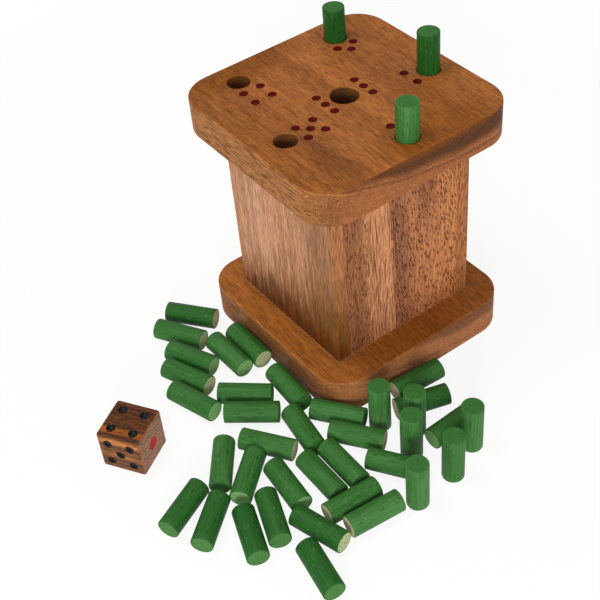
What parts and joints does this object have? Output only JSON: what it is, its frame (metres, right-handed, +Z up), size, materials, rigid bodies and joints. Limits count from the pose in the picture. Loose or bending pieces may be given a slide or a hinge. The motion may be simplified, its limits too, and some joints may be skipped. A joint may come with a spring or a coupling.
{
  "type": "dice peg board game",
  "caption": "Hollow wooden box game: numbered peg sockets round a drop hole in a lift-off lid, with loose green pegs and a wooden die beside it.",
  "frame": {"origin": "middle of the base board's underside, on the table", "axes": "+Z up; X along the grain of the lid and base; the front of the box faces -Y and its right side +X"},
  "size_m": [0.1824, 0.1973, 0.1436],
  "materials": {
    "box_wood": "satin oiled open-pored hardwood",
    "wall_wood": "satin oiled open-pored hardwood, lighter",
    "peg_green": "green-stained hardwood dowel",
    "die_wood": "dark striped hardwood with painted pips"
  },
  "bodies": {
    "box": {"base_board": "box_wood", "wall_front": "wall_wood", "wall_back": "wall_wood", "wall_left": "wall_wood", "wall_right": "wall_wood"},
    "lid": {"lid_board": "box_wood", "lid_plug": "wall_wood"},
    "die": {"die": "die_wood"},
    "peg_01": {"peg_01": "peg_green"},
    "peg_02": {"peg_02": "peg_green"},
    "peg_03": {"peg_03": "peg_green"},
    "peg_04": {"peg_04": "peg_green"},
    "peg_05": {"peg_05": "peg_green"},
    "peg_06": {"peg_06": "peg_green"},
    "peg_07": {"peg_07": "peg_green"},
    "peg_08": {"peg_08": "peg_green"},
    "peg_09": {"peg_09": "peg_green"},
    "peg_10": {"peg_10": "peg_green"},
    "peg_11": {"peg_11": "peg_green"},
    "peg_12": {"peg_12": "peg_green"},
    "peg_13": {"peg_13": "peg_green"},
    "peg_14": {"peg_14": "peg_green"},
    "peg_15": {"peg_15": "peg_green"},
    "peg_16": {"peg_16": "peg_green"},
    "peg_17": {"peg_17": "peg_green"},
    "peg_18": {"peg_18": "peg_green"},
    "peg_19": {"peg_19": "peg_green"},
    "peg_20": {"peg_20": "peg_green"},
    "peg_21": {"peg_21": "peg_green"},
    "peg_22": {"peg_22": "peg_green"},
    "peg_23": {"peg_23": "peg_green"},
    "peg_24": {"peg_24": "peg_green"},
    "peg_25": {"peg_25": "peg_green"},
    "peg_26": {"peg_26": "peg_green"},
    "peg_27": {"peg_27": "peg_green"},
    "peg_28": {"peg_28": "peg_green"},
    "peg_29": {"peg_29": "peg_green"},
    "peg_30": {"peg_30": "peg_green"},
    "peg_31": {"peg_31": "peg_green"},
    "peg_32": {"peg_32": "peg_green"},
    "peg_33": {"peg_33": "peg_green"},
    "peg_34": {"peg_34": "peg_green"},
    "peg_35": {"peg_35": "peg_green"},
    "peg_36": {"peg_36": "peg_green"},
    "peg_37": {"peg_37": "peg_green"},
    "peg_38": {"peg_38": "peg_green"},
    "peg_39": {"peg_39": "peg_green"},
    "peg_40": {"peg_40": "peg_green"}
  },
  "joints": [
    {"name": "lid_lift", "type": "slide", "parent": "box", "child": "lid", "axis": [0, 0, 1], "range_m": [0, 0.12]},
    {"name": "peg_01_pull", "type": "slide", "parent": "lid", "child": "peg_01", "axis": [0, 0, 1], "range_m": [0, 0.03]},
    {"name": "peg_02_pull", "type": "slide", "parent": "lid", "child": "peg_02", "axis": [0, 0, 1], "range_m": [0, 0.03]},
    {"name": "peg_03_pull", "type": "slide", "parent": "lid", "child": "peg_03", "axis": [0, 0, 1], "range_m": [0, 0.03]},
    {"name": "die_lift", "type": "slide", "parent": "box", "child": "die", "axis": [0, 0, 1], "range_m": [0, 0.08]},
    {"name": "peg_04_lift", "type": "slide", "parent": "box", "child": "peg_04", "axis": [0, 0, 1], "range_m": [0, 0.05]},
    {"name": "peg_05_lift", "type": "slide", "parent": "box", "child": "peg_05", "axis": [0, 0, 1], "range_m": [0, 0.05]},
    {"name": "peg_06_lift", "type": "slide", "parent": "box", "child": "peg_06", "axis": [0, 0, 1], "range_m": [0, 0.05]},
    {"name": "peg_07_lift", "type": "slide", "parent": "box", "child": "peg_07", "axis": [0, 0, 1], "range_m": [0, 0.05]},
    {"name": "peg_08_lift", "type": "slide", "parent": "box", "child": "peg_08", "axis": [0, 0, 1], "range_m": [0, 0.05]},
    {"name": "peg_09_lift", "type": "slide", "parent": "box", "child": "peg_09", "axis": [0, 0, 1], "range_m": [0, 0.05]},
    {"name": "peg_10_lift", "type": "slide", "parent": "box", "child": "peg_10", "axis": [0, 0, 1], "range_m": [0, 0.05]},
    {"name": "peg_11_lift", "type": "slide", "parent": "box", "child": "peg_11", "axis": [0, 0, 1], "range_m": [0, 0.05]},
    {"name": "peg_12_lift", "type": "slide", "parent": "box", "child": "peg_12", "axis": [0, 0, 1], "range_m": [0, 0.05]},
    {"name": "peg_13_lift", "type": "slide", "parent": "box", "child": "peg_13", "axis": [0, 0, 1], "range_m": [0, 0.05]},
    {"name": "peg_14_lift", "type": "slide", "parent": "box", "child": "peg_14", "axis": [0, 0, 1], "range_m": [0, 0.05]},
    {"name": "peg_15_lift", "type": "slide", "parent": "box", "child": "peg_15", "axis": [0, 0, 1], "range_m": [0, 0.05]},
    {"name": "peg_16_lift", "type": "slide", "parent": "box", "child": "peg_16", "axis": [0, 0, 1], "range_m": [0, 0.05]},
    {"name": "peg_17_lift", "type": "slide", "parent": "box", "child": "peg_17", "axis": [0, 0, 1], "range_m": [0, 0.05]},
    {"name": "peg_18_lift", "type": "slide", "parent": "box", "child": "peg_18", "axis": [0, 0, 1], "range_m": [0, 0.05]},
    {"name": "peg_19_lift", "type": "slide", "parent": "box", "child": "peg_19", "axis": [0, 0, 1], "range_m": [0, 0.05]},
    {"name": "peg_20_lift", "type": "slide", "parent": "box", "child": "peg_20", "axis": [0, 0, 1], "range_m": [0, 0.05]},
    {"name": "peg_21_lift", "type": "slide", "parent": "box", "child": "peg_21", "axis": [0, 0, 1], "range_m": [0, 0.05]},
    {"name": "peg_22_lift", "type": "slide", "parent": "box", "child": "peg_22", "axis": [0, 0, 1], "range_m": [0, 0.05]},
    {"name": "peg_23_lift", "type": "slide", "parent": "box", "child": "peg_23", "axis": [0, 0, 1], "range_m": [0, 0.05]},
    {"name": "peg_24_lift", "type": "slide", "parent": "box", "child": "peg_24", "axis": [0, 0, 1], "range_m": [0, 0.05]},
    {"name": "peg_25_lift", "type": "slide", "parent": "box", "child": "peg_25", "axis": [0, 0, 1], "range_m": [0, 0.05]},
    {"name": "peg_26_lift", "type": "slide", "parent": "box", "child": "peg_26", "axis": [0, 0, 1], "range_m": [0, 0.05]},
    {"name": "peg_27_lift", "type": "slide", "parent": "box", "child": "peg_27", "axis": [0, 0, 1], "range_m": [0, 0.05]},
    {"name": "peg_28_lift", "type": "slide", "parent": "box", "child": "peg_28", "axis": [0, 0, 1], "range_m": [0, 0.05]},
    {"name": "peg_29_lift", "type": "slide", "parent": "box", "child": "peg_29", "axis": [0, 0, 1], "range_m": [0, 0.05]},
    {"name": "peg_30_lift", "type": "slide", "parent": "box", "child": "peg_30", "axis": [0, 0, 1], "range_m": [0, 0.05]},
    {"name": "peg_31_lift", "type": "slide", "parent": "box", "child": "peg_31", "axis": [0, 0, 1], "range_m": [0, 0.05]},
    {"name": "peg_32_lift", "type": "slide", "parent": "box", "child": "peg_32", "axis": [0, 0, 1], "range_m": [0, 0.05]},
    {"name": "peg_33_lift", "type": "slide", "parent": "box", "child": "peg_33", "axis": [0, 0, 1], "range_m": [0, 0.05]},
    {"name": "peg_34_lift", "type": "slide", "parent": "box", "child": "peg_34", "axis": [0, 0, 1], "range_m": [0, 0.05]},
    {"name": "peg_35_lift", "type": "slide", "parent": "box", "child": "peg_35", "axis": [0, 0, 1], "range_m": [0, 0.05]},
    {"name": "peg_36_lift", "type": "slide", "parent": "box", "child": "peg_36", "axis": [0, 0, 1], "range_m": [0, 0.05]},
    {"name": "peg_37_lift", "type": "slide", "parent": "box", "child": "peg_37", "axis": [0, 0, 1], "range_m": [0, 0.05]},
    {"name": "peg_38_lift", "type": "slide", "parent": "box", "child": "peg_38", "axis": [0, 0, 1], "range_m": [0, 0.05]},
    {"name": "peg_39_lift", "type": "slide", "parent": "box", "child": "peg_39", "axis": [0, 0, 1], "range_m": [0, 0.05]},
    {"name": "peg_40_lift", "type": "slide", "parent": "box", "child": "peg_40", "axis": [0, 0, 1], "range_m": [0, 0.05]}
  ]
}
